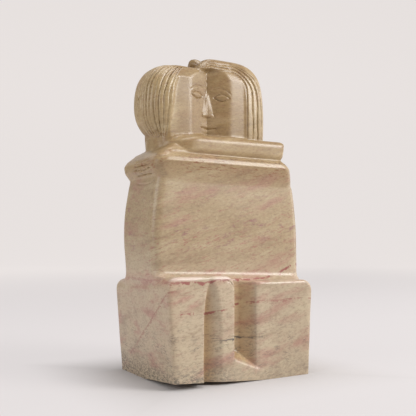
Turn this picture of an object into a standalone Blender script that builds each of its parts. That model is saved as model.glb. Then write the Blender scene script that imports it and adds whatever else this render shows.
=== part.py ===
"""A carved stone couple: two seated figures, face to face, hold each other.

One block of stone. From the floor up it is a legs block with two grooves on the front and on the
back, one shared chest, two rings of arms, and two heads that meet at an upright seam.
+Z is up, the front faces -Y, and the origin is the middle of the underside.
"""

import math

import bmesh
import bpy
import numpy as np
from mathutils import Vector

# Driving dimensions, in metres.
HEIGHT = 0.279  # floor to the crown of the taller head
KNEE_WIDTH = 0.146  # legs block, left to right at its top
FOOT_WIDTH = 0.1335  # the same at the floor
KNEE_DEPTH = 0.105  # legs block, front to back
KNEE_HEIGHT = 0.087  # floor to the top of the left figure's knees
KNEE_STEP = 0.0055  # how much lower the right figure's knees are, and the block's back
KNEE_ROUND = 0.0095  # radius of the block's upper corners, seen from the front
CHEST_DEPTH = 0.064  # chest, front to back
CHEST_FLARE = 0.0045  # height and reach of the hollow fillet at the foot of the chest
SHOULDER_WIDTH = 0.138  # chest, left to right under the arms
ARM_HEIGHT = 0.188  # floor to the crease between the two rings of arms
LOWER_ARM = 0.021  # height of the lower ring of arms
UPPER_ARM = 0.0155  # height of the upper ring
FOLD_WIDTH = 0.0169  # pointed groove in the left figure's leg
FOLD_DEPTH = 0.0085
GAP_WIDTH = 0.031  # groove between the two figures' legs
GAP_DEPTH = 0.014
HEAD_DEPTH = 0.043  # a head, from its left cheek to its right
FACE_RECESS = 0.0016  # how far the faces lie below the hair
LOCK_DEPTH = 0.0012  # grooves between the locks of hair
CORNER_LIFT = 0.0060  # rise of the worn underside at its front left corner
RIM_ROUND = 0.0025  # radius of the edges of the legs block

# The figures keep their pose and carving as shares of the height: 279 parts from floor to crown.
PART = HEIGHT / 279
SEAM = -14.5  # where the two faces meet, in parts from the middle
VALLEY_DEPTH = 7.5  # how far the two faces turn in towards each other, and from how far out
VALLEY_REACH = 19.0
GAP_LEFT = -9.9  # the left side of the groove between the two figures' legs, in the same parts
SHOULDER_SLOPE = 0.12  # fall of the upper arm to the left figure's shoulder, left of SLOPE_START
SLOPE_START = -22.0
WORN_FRONT = 92.0  # how far the worn corner reaches along the front and along the side, in parts
WORN_SIDE = 62.0
UNDER = 3.0  # how far the rough block goes below the floor before the underside is sawn flat
LOCK_THICK = 4.0  # radius of the lock of hair over the crown
LOCK_REACH = 19.0  # how far its ends are from the middle, on the front and the back
LOCK_TOP = 273.6  # height of its middle line at the top, and how far that falls to its ends
LOCK_FALL = 12.0
LOCK_ASIDE = 6.5  # how far its middle swings out over the left head
CROWN = (SEAM - 4, 0.0, 272.0)  # where the left head's locks start
NAPE = (-50.0, 0.0, 120.0)  # the point that they fall towards
EYE_LEVEL = 241.0
MOUTH_LEVEL = 213.0
NOSE_TIP = 222.5  # height of the underside of the noses
HANDS = ((-1, 175.5), (1, 195.5))  # the end of each pair of hands, and the height of its fingers
FINGER = 4.2  # spacing of the fingers

# Fineness of the surface.
VOXEL = 0.0013
TRIANGLES = 9600


def new_collection(name):
    collection = bpy.data.collections.new(name)
    bpy.context.scene.collection.children.link(collection)
    return collection


def stone_material():
    material = bpy.data.materials.new("stone")
    material.use_nodes = True
    shader = material.node_tree.nodes["Principled BSDF"]
    shader.inputs["Base Color"].default_value = (0.53, 0.45, 0.35, 1.0)
    shader.inputs["Roughness"].default_value = 0.42
    shader.inputs["Metallic"].default_value = 0.0
    return material


def finish_mesh(name, bm, collection):
    """The bmesh as an object of the collection."""
    bmesh.ops.recalc_face_normals(bm, faces=bm.faces)
    mesh = bpy.data.meshes.new(name)
    bm.to_mesh(mesh)
    bm.free()
    obj = bpy.data.objects.new(name, mesh)
    collection.objects.link(obj)
    return obj


def layered_box(name, levels, corners, collection):
    """A box whose outline changes with height. A level is (height, left, right, half depth), in parts.

    corners holds the radii of its upright edges: those on the left, then those on the right.
    """
    widest_left, widest_right = min(level[1] for level in levels), max(level[2] for level in levels)
    span, deepest = widest_right - widest_left, max(level[3] for level in levels)
    bottom, top = levels[0][0], levels[-1][0]
    bm = bmesh.new()
    bmesh.ops.create_cube(bm, size=2.0)
    for vert in bm.verts:
        x = widest_left if vert.co.x < 0 else widest_right
        vert.co = (x, vert.co.y * deepest, bottom if vert.co.z < 0 else top)
    middle = (widest_left + widest_right) / 2
    for side, radius in zip((-1, 1), corners):
        ends = [e for e in bm.edges if all((v.co.x - middle) * side > 0.49 * span for v in e.verts)]
        upright = [e for e in ends if abs(e.verts[0].co.z - e.verts[1].co.z) > 0.9 * (top - bottom)]
        bmesh.ops.bevel(bm, geom=upright, offset=radius, segments=6, profile=0.5, affect="EDGES")
    for height, *_ in levels[1:-1]:
        geometry = list(bm.verts) + list(bm.edges) + list(bm.faces)
        bmesh.ops.bisect_plane(bm, geom=geometry, plane_co=(0, 0, height), plane_no=(0, 0, 1))
    heights, *outlines = zip(*levels)
    for vert in bm.verts:
        left, right, half_depth = (np.interp(vert.co.z, heights, column) for column in outlines)
        across = (vert.co.x - widest_left) / span
        vert.co = (left + across * (right - left), vert.co.y / deepest * half_depth, vert.co.z)
        vert.co *= PART
    return finish_mesh(name, bm, collection)


def legs_block(name, left_end, right_end, tops, collection):
    """One figure's legs, left and right. They narrow towards the floor, and the knees are round.

    Each end is its place at the knees and at the feet, and tops are the heights of the knees on the
    front and on the back, all in parts.
    """
    depth = KNEE_DEPTH / 2 / PART
    bm = bmesh.new()
    bmesh.ops.create_cube(bm, size=2.0)
    for vert in bm.verts:
        level = 0 if vert.co.z > 0 else 1
        x = left_end[level] if vert.co.x < 0 else right_end[level]
        top = tops[0] if vert.co.y < 0 else tops[1]
        vert.co = (x * PART, vert.co.y * depth * PART, (-UNDER if level else top) * PART)
    knees = [edge for edge in bm.edges if all(v.co.z > 0.5 * tops[1] * PART for v in edge.verts)]
    knees = [edge for edge in knees if abs(edge.verts[0].co.y - edge.verts[1].co.y) > depth * PART]
    bmesh.ops.bevel(bm, geom=knees, offset=KNEE_ROUND, segments=7, profile=0.5, affect="EDGES")
    sharp = [edge for edge in bm.edges if edge.calc_face_angle(0.0) > 0.8]
    rims = [edge for edge in sharp if max(v.co.z for v in edge.verts) > 0]
    bmesh.ops.bevel(bm, geom=rims, offset=RIM_ROUND, segments=3, profile=0.5, affect="EDGES")
    return finish_mesh(name, bm, collection)


def legs(collection, cutters):
    """The legs of both figures, and the stone between them under the chest."""
    knees, feet = KNEE_WIDTH / 2 / PART, FOOT_WIDTH / 2 / PART
    top, low_top = KNEE_HEIGHT / PART, (KNEE_HEIGHT - KNEE_STEP) / PART
    left = legs_block("left_legs", (1 - knees, 2 - feet), (GAP_LEFT, GAP_LEFT), (top, low_top), collection)
    inner = (GAP_LEFT - 4, GAP_LEFT - 4)
    right = legs_block("right_legs", inner, (knees - 1.5, feet), (low_top, low_top), collection)
    for side in (-1, 1):
        cut_away(left, fold_cutter(side, cutters))
        cut_away(right, gap_cutter(side, cutters))
    core_depth = (KNEE_DEPTH / 2 - GAP_DEPTH) / PART
    core_levels = [(height, GAP_LEFT - 12, GAP_LEFT + 16, core_depth) for height in (-UNDER, low_top + 2)]
    return [left, right, layered_box("core", core_levels, (1.0, 1.0), collection)]


def fold_cutter(side, collection):
    """The groove in the left figure's leg: a pointed arch above, open at the floor."""
    left = (GAP_LEFT - 29.5) * PART
    face = side * KNEE_DEPTH / 2
    top, length = KNEE_HEIGHT - 2.5 * PART, 42 * PART
    steps = 12
    rings = []
    for step in range(steps + 1):
        share = max(step / steps, 0.02)
        rings.append((top - length * share, math.sin(0.5 * math.pi * share**0.6)))
    rings.append((-2 * UNDER * PART, 1.0))
    bm = bmesh.new()
    loops = []
    for height, share in rings:
        width = FOLD_WIDTH * share
        start = left + 0.42 * (FOLD_WIDTH - width)
        plan = ((0.0, -3 * PART), (0.0, 0.0), (0.08, 0.75), (0.20, 1.0), (1.0, 0.0), (1.0, -3 * PART))
        loop = []
        for across, inward in plan:
            depth = inward * FOLD_DEPTH * share if inward > 0 else inward
            loop.append(bm.verts.new((start + across * width, face - side * depth, height)))
        loops.append(loop)
    for above, below in zip(loops, loops[1:]):
        for i in range(len(above)):
            j = (i + 1) % len(above)
            bm.faces.new((above[i], above[j], below[j], below[i]))
    bm.faces.new(loops[0])
    bm.faces.new(loops[-1])
    return finish_mesh("fold_cutter", bm, collection)


def gap_cutter(side, collection):
    """The groove between the two figures' legs: open above, steep on its left, and a scoop below."""
    left = GAP_LEFT * PART
    face = side * KNEE_DEPTH / 2
    outside = 4 * PART / GAP_DEPTH
    plan = ((-0.2, -outside), (-0.2, 1.0), (0.22, 1.0), (0.34, 0.93))
    plan += ((0.62, 0.36), (0.69, 0.10), (0.80, 0.03), (1.0, 0.0), (1.12, -0.04), (1.12, -outside))
    bm = bmesh.new()
    low, high = [], []
    for across, inward in plan:
        x, y = left + across * GAP_WIDTH, face - side * inward * GAP_DEPTH
        foot = 19 - 13 * max(across, 0.0) + 8 * max(inward, 0.0)
        low.append(bm.verts.new((x, y, foot * PART)))
        high.append(bm.verts.new((x, y, KNEE_HEIGHT + 14 * PART)))
    for i in range(len(plan)):
        j = (i + 1) % len(plan)
        bm.faces.new((low[i], low[j], high[j], high[i]))
    caps = [bm.faces.new(low), bm.faces.new(high)]
    bmesh.ops.triangulate(bm, faces=caps)
    return finish_mesh("gap_cutter", bm, collection)


def chest(collection):
    """The shared chest: its front and back sweep out to the legs block in a hollow fillet."""
    knees, shoulders = KNEE_WIDTH / 2 / PART, SHOULDER_WIDTH / 2 / PART
    foot, crease = KNEE_HEIGHT / PART, ARM_HEIGHT / PART
    half_depth, flare = CHEST_DEPTH / 2 / PART, CHEST_FLARE / PART
    bend = crease - LOWER_ARM / PART - 5
    levels = [
        (foot - 16, 3.4 - knees, knees - 4.5, half_depth + flare - 3.0),
        (foot - 4, 1.8 - knees, knees - 1.9, half_depth + flare - 0.5),
    ]
    for step in range(9):
        rise = step / 8
        out = flare * (1 - math.sqrt(1 - (1 - rise) ** 2))
        levels.append((foot + flare * rise, 0.6 - knees, knees + 1.8, half_depth + out))
    span = bend - levels[-1][0]
    for step in range(1, 6):
        share = step / 5
        swell = math.sin(math.pi * share)
        left = 0.6 - knees - 3.0 * swell + (knees - shoulders - 2.0) * share
        right = knees + 1.8 + 1.6 * swell + (shoulders - knees - 0.4) * share
        levels.append((bend - span * (1 - share), left, right, half_depth + 0.6 * swell))
    levels.append((crease - 1, levels[-1][1] + 6, levels[-1][2] - 11, half_depth - 1))
    body = layered_box("chest", levels, (8.0, 11.0), collection)
    for vert in body.data.vertices:
        on_left = 0.5 - 0.5 * min(max(vert.co.x / (0.5 * KNEE_WIDTH), -1), 1)
        in_front = 0.5 - 0.5 * min(max(vert.co.y / (0.5 * CHEST_DEPTH), -1), 1)
        near_foot = 1 - min(max((vert.co.z - KNEE_HEIGHT) / (3 * CHEST_FLARE), 0), 1)
        vert.co.z -= KNEE_STEP * (1 - on_left * in_front) * near_foot
    return body


def soft_box(name, middle, half, powers, collection, cuts=14):
    """A rounded form, in parts: a fine cube drawn in to a superquadric, as a corner of stone is worn."""
    bm = bmesh.new()
    bmesh.ops.create_cube(bm, size=2.0)
    bmesh.ops.subdivide_edges(bm, edges=bm.edges, cuts=cuts, use_grid_fill=True)
    plan_power, rise_power = powers
    for vert in bm.verts:
        spread = [math.sin(abs(v) * math.pi / 4) / math.sin(math.pi / 4) for v in vert.co]
        x, y, z = (math.copysign(size, v) for size, v in zip(spread, vert.co))
        plan = (abs(x) ** plan_power + abs(y) ** plan_power) ** (1 / plan_power)
        size = (plan**rise_power + abs(z) ** rise_power) ** (1 / rise_power)
        vert.co = [PART * (c + h * v / size) for c, h, v in zip(middle, half, (x, y, z))]
    return finish_mesh(name, bm, collection)


def arms(collection):
    """The two rings of arms, and the sloping shoulder of the left figure."""
    crease = ARM_HEIGHT / PART
    lower, upper, depth = LOWER_ARM / PART, UPPER_ARM / PART, CHEST_DEPTH / 2 / PART
    low = [
        (crease - 1.22 * lower, -66.0, 67.5, depth - 0.5),
        (crease - 0.95 * lower, -69.5, 68.0, depth + 0.8),
        (crease - 0.66 * lower, -73.3, 66.2, depth + 2.8),
        (crease - 0.38 * lower, -73.6, 63.6, depth + 4.8),
        (crease - 0.18 * lower, -71.0, 60.2, depth + 3.6),
        (crease + 0.03 * lower, -66.0, 55.5, depth - 0.2),
    ]
    high = [
        (crease - 1.0, -56.0, 50.0, depth - 2.0),
        (crease + 0.8, -58.5, 54.0, depth + 1.4),
        (crease + 2.4, -59.5, 55.5, depth + 2.2),
        (crease + upper - 3.2, -59.0, 57.5, depth + 2.2),
        (crease + upper - 0.4, -57.0, 58.0, depth + 1.0),
        (crease + upper + 1.6, -53.0, 56.5, depth - 2.0),
    ]
    shoulder = [
        (crease - 14.0, -71.0, -30.0, depth + 1.0),
        (crease - 7.0, -70.5, -30.0, depth + 1.6),
        (crease + 2.0, -64.5, -34.0, depth + 0.5),
        (crease + 7.0, -55.5, -38.0, depth - 4.0),
        (crease + 10.0, -51.0, -40.0, depth - 10.0),
    ]
    upper_ring = layered_box("upper_arms", high, (24.0, 5.0), collection)
    for vert in upper_ring.data.vertices:
        slope = max(SLOPE_START - vert.co.x / PART, 0.0) * max(vert.co.z / PART - crease, 0.0) / upper
        vert.co.z -= SHOULDER_SLOPE * slope * PART
    return [
        layered_box("lower_arms", low, (9.0, 10.0), collection),
        upper_ring,
        layered_box("left_shoulder", shoulder, (8.0, 6.0), collection),
    ]


def crown_lock(collection):
    """The lock of hair that lies across the crown, from the front over to the back."""
    route = bpy.data.curves.new("crown_lock", "CURVE")
    route.dimensions = "3D"
    route.bevel_depth = LOCK_THICK * PART
    route.bevel_resolution = 3
    route.use_fill_caps = True
    spline = route.splines.new("POLY")
    steps = 12
    spline.points.add(steps)
    for step in range(steps + 1):
        swing = 2 * step / steps - 1
        x = SEAM - LOCK_ASIDE * (1 - abs(swing) ** 1.2) + 0.5
        z = LOCK_TOP - LOCK_FALL * abs(swing) ** 1.7
        spline.points[step].co = (x * PART, LOCK_REACH * swing * PART, z * PART, 1.0)
        spline.points[step].radius = 1 - 0.45 * abs(swing) ** 4
    obj = bpy.data.objects.new("crown_lock", route)
    collection.objects.link(obj)
    bm = bmesh.new()
    bm.from_mesh(evaluated_mesh(obj))
    bpy.data.objects.remove(obj)
    bmesh.ops.remove_doubles(bm, verts=bm.verts, dist=0.01 * PART)
    return finish_mesh("crown_lock", bm, collection)


def heads(collection):
    """The two heads and the lock of hair across the crown."""
    half_depth = HEAD_DEPTH / 2 / PART
    proud = half_depth + FACE_RECESS / PART
    right = soft_box("right_head", (7.0, 0, 224), (38.0, proud, 55.0), (6, 3.2), collection)
    left = soft_box("left_head", (-42.2, 0, 233.5), (31.5, half_depth + 3.6, 33.8), (2.8, 2.5), collection)
    neck = soft_box("left_neck", (-38, 0, 205), (24, half_depth - 1, 30), (3.5, 4), collection)
    cheek = soft_box("left_cheek", (-33, 0, 222), (28, proud, 45), (5, 4), collection)
    return [right, left, neck, cheek, crown_lock(collection)]


def cut_away(obj, cutter):
    cutter.hide_render = True
    cutter.display_type = "WIRE"
    modifier = obj.modifiers.new(cutter.name, "BOOLEAN")
    modifier.operation = "DIFFERENCE"
    modifier.solver = "EXACT"
    modifier.object = cutter


def evaluated_mesh(obj):
    bpy.context.view_layer.update()
    graph = bpy.context.evaluated_depsgraph_get()
    return bpy.data.meshes.new_from_object(obj.evaluated_get(graph))


def bake_modifiers(obj):
    mesh = evaluated_mesh(obj)
    obj.modifiers.clear()
    obj.data = mesh


def read_points(obj, attribute="co"):
    """The vertices' places in parts, or their normals, as rows of an array."""
    values = np.empty(len(obj.data.vertices) * 3, np.float32)
    obj.data.vertices.foreach_get(attribute, values)
    rows = values.reshape(-1, 3).astype(np.float64)
    return rows / PART if attribute == "co" else rows


def write_points(obj, points):
    obj.data.vertices.foreach_set("co", (points * PART).astype(np.float32).ravel())
    obj.data.update()


def ring_top(x):
    """The height of the upper ring of arms, which rises from the left figure's shoulder."""
    top = (ARM_HEIGHT + UPPER_ARM) / PART + 1.6
    return top - SHOULDER_SLOPE * np.maximum(SLOPE_START - x, 0.0)


def face_edges(x, z):
    """How far a point is outside the two faces' openings in the hair, less than 0 within them."""
    right = arch_distance(x, z, 23.5, 266.5, 17.0)
    left = arch_distance(-x, z, 52.5, 267.0, 18.0)
    return np.where(x > SEAM, right, left)


def dress_faces(points):
    """Both faces are cut flat below the hair, and turn in towards the seam, so a valley runs down it."""
    x, y, z = points.T
    limit = HEAD_DEPTH / 2 / PART - VALLEY_DEPTH * (1 - np.minimum(np.abs(x - SEAM) / VALLEY_REACH, 1.0))
    limit += 12 * ramp(face_edges(x, z), -0.8, 0.8)
    limit[z < ring_top(x) + 1.0] = np.inf
    points[:, 1] = np.sign(y) * np.minimum(np.abs(y), limit)


def fuse(name, pieces, collection):
    """All the forms as one body, with soft creases where they meet."""
    bm = bmesh.new()
    for piece in pieces:
        bm.from_mesh(evaluated_mesh(piece))
    one = finish_mesh(name, bm, collection)
    remesh = one.modifiers.new("fuse", "REMESH")
    remesh.mode = "VOXEL"
    remesh.voxel_size = VOXEL
    bake_modifiers(one)
    points = read_points(one)
    dress_faces(points)
    write_points(one, points)
    soften = one.modifiers.new("soften", "SMOOTH")
    soften.factor = 0.5
    soften.iterations = 6
    bake_modifiers(one)
    for piece in pieces:
        bpy.data.objects.remove(piece)
    return one


def ramp(value, low, high):
    """0 below low, 1 above high, smooth between."""
    share = np.clip((value - low) / (high - low), 0.0, 1.0)
    return share * share * (3 - 2 * share)


def groove(distance, width):
    """1 on a line, falling to 0 at half the width from it."""
    return np.clip(1 - np.abs(distance) / (width / 2), 0.0, 1.0) ** 1.3


def arch_distance(x, z, side, top, corner):
    """How far a point is outside an arch of straight sides, a flat top and round corners."""
    across = x - (side - corner)
    rise = z - (top - corner)
    outside = np.hypot(np.maximum(across, 0), np.maximum(rise, 0))
    inside = np.minimum(np.maximum(across, rise), 0)
    return outside + inside - corner


def carve(points, normals):
    """The depth of the cut lines at each point, in parts."""
    x, _, z = points.T
    edge = face_edges(x, z)
    on_heads = ramp(z - ring_top(x), 0.5, 2.5)
    depth = on_heads * (carve_bands(x, z, edge, normals) + carve_locks(points, edge))
    depth += on_heads * carve_faces(points)
    return depth + carve_hands(points, normals)


def carve_bands(x, z, edge, normals):
    """Right head: bands of hair in arches round the face."""
    bands = 3
    thickness = 12 + 9 * ramp(x - z, -250, -205)
    cut = groove(edge, 2.2) * 0.5
    for line in range(1, bands):
        cut += groove(edge - line * thickness / bands, 2.6) * ramp(edge, 0.5, 2)
    return (x > SEAM) * np.abs(normals[:, 1]) * cut * LOCK_DEPTH / PART


def carve_locks(points, edge):
    """Left head: locks that fall from the crown and run in under the nape."""
    locks = 12
    crown, foot = np.array(CROWN), np.array(NAPE)
    axis = (crown - foot) / np.linalg.norm(crown - foot)
    back = np.array((-axis[2], 0.0, axis[0]))
    behind, flank = (points - crown) @ back, np.abs(points[:, 1])
    face_turn = np.arctan2(24.5, (np.array((-51.5, 0, 236.0)) - crown) @ back)
    phase = np.arctan2(flank, behind) / face_turn * locks
    spacing = np.hypot(flank, behind) * face_turn / locks
    line = (1 - np.abs(np.sin(math.pi * phase))) ** 1.6
    in_hair = (points[:, 0] < SEAM - 1) * ramp(edge, 0.4, 2.0)
    return in_hair * ramp(spacing, 1.0, 2.6) * line * LOCK_DEPTH / PART


def carve_faces(points):
    """The two noses, eyes, brows and mouths, made alike on both sides of the seam."""
    x, y, z = points.T
    out = np.abs(x - SEAM)
    nose = np.clip(1 - out / (1.5 + 5.0 * np.clip((EYE_LEVEL + 3 - z) / 20, 0, 1)), 0, 1)
    cut = -1.8 * nose * ramp(z, NOSE_TIP, NOSE_TIP + 2) * (1 - ramp(z, EYE_LEVEL - 3, EYE_LEVEL + 5))
    across, up = (out - 12.5) / 7.0, (z - EYE_LEVEL) / 3.3
    almond = np.hypot(across, up * (1 + 0.6 * across**2))
    cut += groove((almond - 1.0) * 3.5, 2.0)
    brow = z - EYE_LEVEL - 8.5 + 0.05 * (out - 10) ** 2
    cut += groove(brow, 2.4) * 0.5 * ramp(out, 2, 5) * (1 - ramp(out, 17, 21))
    for lip, fullness in ((MOUTH_LEVEL + 2.2, 1.0), (MOUTH_LEVEL - 2.4, 0.9)):
        cut -= np.clip(1 - ((z - lip) / 2.3) ** 2, 0, 1) * np.clip(1 - out / 9, 0, 1) * fullness
    mouth = z - MOUTH_LEVEL - 0.012 * out**2
    cut += groove(mouth, 1.8) * 0.9 * (1 - ramp(out, 8, 11))
    cut += groove(out, 2.2) * 0.7 * (1 - ramp(z, 262, 267))
    return cut * (out < 34) * (np.abs(y) > 8)


def carve_hands(points, normals):
    """The fingers of two hands that meet in the middle of each end."""
    x, y, z = points.T
    flank = np.abs(y)
    depth = np.zeros(len(points))
    for end, level in HANDS:
        facing = (end * x > 44) * np.clip(end * normals[:, 0], 0, 1) ** 0.7
        fingers = z - level
        reach = 1 - ramp(flank, 15, 22)
        depth += facing * groove(flank, 1.8) * (np.abs(fingers) < 8) * 0.9
        for line in (-FINGER, 0.0, FINGER):
            depth += facing * groove(fingers - line - 0.08 * flank, 1.8) * reach * 1.1
    return depth


def saw(obj, point, normal):
    """Takes off all that lies behind a plane, and closes the cut."""
    bm = bmesh.new()
    bm.from_mesh(obj.data)
    geometry = list(bm.verts) + list(bm.edges) + list(bm.faces)
    cut = bmesh.ops.bisect_plane(
        bm, geom=geometry, dist=1e-7, plane_co=Vector(point) * PART, plane_no=normal, clear_inner=True
    )
    rim = [item for item in cut["geom_cut"] if isinstance(item, bmesh.types.BMEdge)]
    bmesh.ops.triangle_fill(bm, use_beauty=True, edges=rim)
    bmesh.ops.recalc_face_normals(bm, faces=bm.faces)
    bm.to_mesh(obj.data)
    bm.free()


def saw_underside(obj):
    """A flat underside, and its worn front left corner, which stands clear of the floor."""
    saw(obj, (0, 0, 0), (0, 0, 1))
    corner = Vector((1 - KNEE_WIDTH / 2 / PART, -KNEE_DEPTH / 2 / PART, CORNER_LIFT / PART))
    along_front, along_side = corner + Vector((WORN_FRONT, 0, 0)), corner + Vector((0, WORN_SIDE, 0))
    along_front.z = along_side.z = 0
    saw(obj, along_front, (along_front - corner).cross(along_side - corner).normalized())


def carve_surface(obj):
    points, normals = read_points(obj), read_points(obj, "normal")
    points -= normals * carve(points, normals)[:, None]
    points[:, :2] -= (points[:, :2].min(axis=0) + points[:, :2].max(axis=0)) / 2
    write_points(obj, points)


def thin_out(obj):
    """Fewer faces where the stone is flat, more where it is carved."""
    modifier = obj.modifiers.new("thin", "DECIMATE")
    obj.data.calc_loop_triangles()
    modifier.ratio = TRIANGLES / len(obj.data.loop_triangles)
    bake_modifiers(obj)


def main():
    for obj in list(bpy.data.objects):
        bpy.data.objects.remove(obj)
    carving = new_collection("stone_couple")
    cutters = new_collection("cutters")
    cutters.hide_render = True
    pieces = legs(carving, cutters) + [chest(carving)] + arms(carving) + heads(carving)
    stone = fuse("stone_carving", pieces, carving)
    carve_surface(stone)
    saw_underside(stone)
    thin_out(stone)
    stone.data.materials.append(stone_material())
    stone.data.shade_smooth()


main()
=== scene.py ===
import math

import bmesh
import bpy
import numpy as np
from mathutils import Matrix, Vector


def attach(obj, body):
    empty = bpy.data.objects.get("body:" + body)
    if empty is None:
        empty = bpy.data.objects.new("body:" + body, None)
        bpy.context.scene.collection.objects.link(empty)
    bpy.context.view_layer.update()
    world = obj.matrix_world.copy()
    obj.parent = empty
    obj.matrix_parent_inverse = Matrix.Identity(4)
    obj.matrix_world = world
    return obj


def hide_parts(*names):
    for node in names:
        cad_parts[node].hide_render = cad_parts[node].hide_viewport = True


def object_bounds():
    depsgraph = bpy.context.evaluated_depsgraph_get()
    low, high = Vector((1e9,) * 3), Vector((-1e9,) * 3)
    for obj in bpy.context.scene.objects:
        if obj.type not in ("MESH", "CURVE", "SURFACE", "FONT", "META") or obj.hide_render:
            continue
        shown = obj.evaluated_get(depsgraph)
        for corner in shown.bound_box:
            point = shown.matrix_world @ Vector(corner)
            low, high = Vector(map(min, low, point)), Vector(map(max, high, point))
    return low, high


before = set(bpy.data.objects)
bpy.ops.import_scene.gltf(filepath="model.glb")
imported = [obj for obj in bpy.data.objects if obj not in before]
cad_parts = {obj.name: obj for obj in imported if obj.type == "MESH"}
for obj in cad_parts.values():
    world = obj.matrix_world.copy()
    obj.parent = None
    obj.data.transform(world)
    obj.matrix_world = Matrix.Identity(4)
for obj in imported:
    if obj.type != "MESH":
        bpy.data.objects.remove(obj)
solid_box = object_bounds()

# The view. The carving stands a little over half a metre from the lens and is seen from its front
# left, from about half its own height, with the camera tipped up by a few degrees.
MM = 0.001
VIEW_TURN = math.radians(-30.88)
VIEW_TIP = math.radians(3.37)
VIEW_DISTANCE = 560 * MM
VIEW_HEIGHT = 112 * MM
VIEW_ASIDE = -4.3 * MM
FOCAL_PIXELS = 622.7
FRAME_PIXELS = 416

camera = bpy.data.objects.new("view", bpy.data.cameras.new("view"))
bpy.context.scene.collection.objects.link(camera)
bpy.context.scene.camera = camera
camera.data.sensor_width = 36.0
camera.data.lens = FOCAL_PIXELS / FRAME_PIXELS * camera.data.sensor_width
camera.data.clip_start = 0.01
backwards = Vector((math.sin(VIEW_TURN), -math.cos(VIEW_TURN), 0.0))
rightwards = Vector((math.cos(VIEW_TURN), math.sin(VIEW_TURN), 0.0))
ahead = Vector((0.0, 0.0, math.sin(VIEW_TIP))) - backwards * math.cos(VIEW_TIP)
upwards = rightwards.cross(ahead)
camera.matrix_world = Matrix((rightwards, upwards, -ahead)).transposed().to_4x4()
camera.location = backwards * VIEW_DISTANCE + rightwards * VIEW_ASIDE + Vector((0.0, 0.0, VIEW_HEIGHT))
bpy.context.scene.view_settings.view_transform = "Standard"

# The legs block. It is the foot of the same stone: two boxes side by side, one for each figure's
# shins, sawn and rasped to a slight taper, with round knees and softened edges.
KNEES = 73.0  # half the width at the knees, in millimetres as every size of the stone below
FEET = 66.75
LEGS_DEPTH = 52.5
LEFT_KNEES = 87.0
RIGHT_KNEES = 81.5
KNEE_ROUND = 9.5
RIM_ROUND = 2.5
BETWEEN_LEGS = -9.9
ROUGH_FOOT = -3.0
UNIT = bpy.context.scene.collection


def add_box(name, left, right, half_depth, bottom, top):
    """A box of the stone, at its size and place, open for edit-mode operators."""
    bpy.ops.object.select_all(action="DESELECT")
    middle = Vector(((left + right) / 2, 0.0, (bottom + top) / 2)) * MM
    bpy.ops.mesh.primitive_cube_add(size=1.0, location=middle)
    box = bpy.context.object
    box.name = name
    box.scale = Vector((right - left, 2 * half_depth, top - bottom)) * MM
    bpy.ops.object.transform_apply(location=True, rotation=True, scale=True)
    return box


def pick(kind, test):
    """Selects the edges or vertices of the edited mesh whose corners pass a test, in millimetres."""
    bpy.ops.mesh.select_mode(type=kind)
    bpy.ops.mesh.select_all(action="DESELECT")
    edited = bmesh.from_edit_mesh(bpy.context.object.data)
    for item in edited.edges if kind == "EDGE" else edited.verts:
        corners = item.verts if kind == "EDGE" else (item,)
        item.select_set(test(*(corner.co / MM for corner in corners)))
    edited.select_flush_mode()
    bmesh.update_edit_mesh(bpy.context.object.data)


def add_legs(name, left, left_foot, right, right_foot, top, back_top):
    """One figure's shins, from its ends at the knees and at the foot and its top in front and behind."""
    legs = add_box(name, left, right, LEGS_DEPTH, ROUGH_FOOT, top)
    bpy.ops.object.mode_set(mode="EDIT")
    middle = (left + right) / 2
    pick("VERT", lambda a: a.z > 0 and a.y > 0)
    bpy.ops.transform.translate(value=(0.0, 0.0, (back_top - top) * MM))
    pick("VERT", lambda a: a.z < 0 and a.x < middle)
    bpy.ops.transform.translate(value=((left_foot - left) * MM, 0.0, 0.0))
    pick("VERT", lambda a: a.z < 0 and a.x > middle)
    bpy.ops.transform.translate(value=((right_foot - right) * MM, 0.0, 0.0))
    pick("EDGE", lambda a, b: min(a.z, b.z) > 0 and abs(a.y - b.y) > LEGS_DEPTH)
    bpy.ops.mesh.bevel(offset=KNEE_ROUND * MM, segments=9, affect="EDGES")
    bpy.ops.mesh.select_mode(type="EDGE")
    bpy.ops.mesh.select_all(action="DESELECT")
    bpy.ops.mesh.edges_select_sharp(sharpness=0.8)
    edited = bmesh.from_edit_mesh(legs.data)
    for edge in edited.edges:
        if max(corner.co.z for corner in edge.verts) < 0:
            edge.select_set(False)
    bmesh.update_edit_mesh(legs.data)
    bpy.ops.mesh.bevel(offset=RIM_ROUND * MM, segments=4, affect="EDGES")
    bpy.ops.object.mode_set(mode="OBJECT")
    return legs


left_legs = add_legs("left_legs", 1 - KNEES, 2 - FEET, BETWEEN_LEGS, BETWEEN_LEGS, LEFT_KNEES, RIGHT_KNEES)
hidden_side = BETWEEN_LEGS - 4
right_legs = add_legs("right_legs", hidden_side, hidden_side, KNEES - 1.5, FEET, RIGHT_KNEES, RIGHT_KNEES)

# The grooves of the legs. Front and back have the same two: a pointed one that parts the left
# figure's legs, and a deep one between the figures, open above and scooped out below.
FOLD_WIDTH = 16.9
FOLD_DEPTH = 8.5
FOLD_LEFT = BETWEEN_LEGS - 29.5
FOLD_RISE = 42.0
GAP_WIDTH = 31.0
GAP_DEPTH = 14.0


def select_only(piece):
    """Makes one object the only selected one, and the active one."""
    bpy.ops.object.select_all(action="DESELECT")
    piece.select_set(True)
    bpy.context.view_layer.objects.active = piece


def mesh_of(name, points, faces):
    """A closed cutter from its corners, in millimetres."""
    mesh = bpy.data.meshes.new(name)
    mesh.from_pydata([Vector(point) * MM for point in points], [], faces)
    cutter = bpy.data.objects.new(name, mesh)
    UNIT.objects.link(cutter)
    select_only(cutter)
    bpy.ops.object.mode_set(mode="EDIT")
    bpy.ops.mesh.select_all(action="SELECT")
    bpy.ops.mesh.normals_make_consistent(inside=False)
    bpy.ops.object.mode_set(mode="OBJECT")
    return cutter


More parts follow.
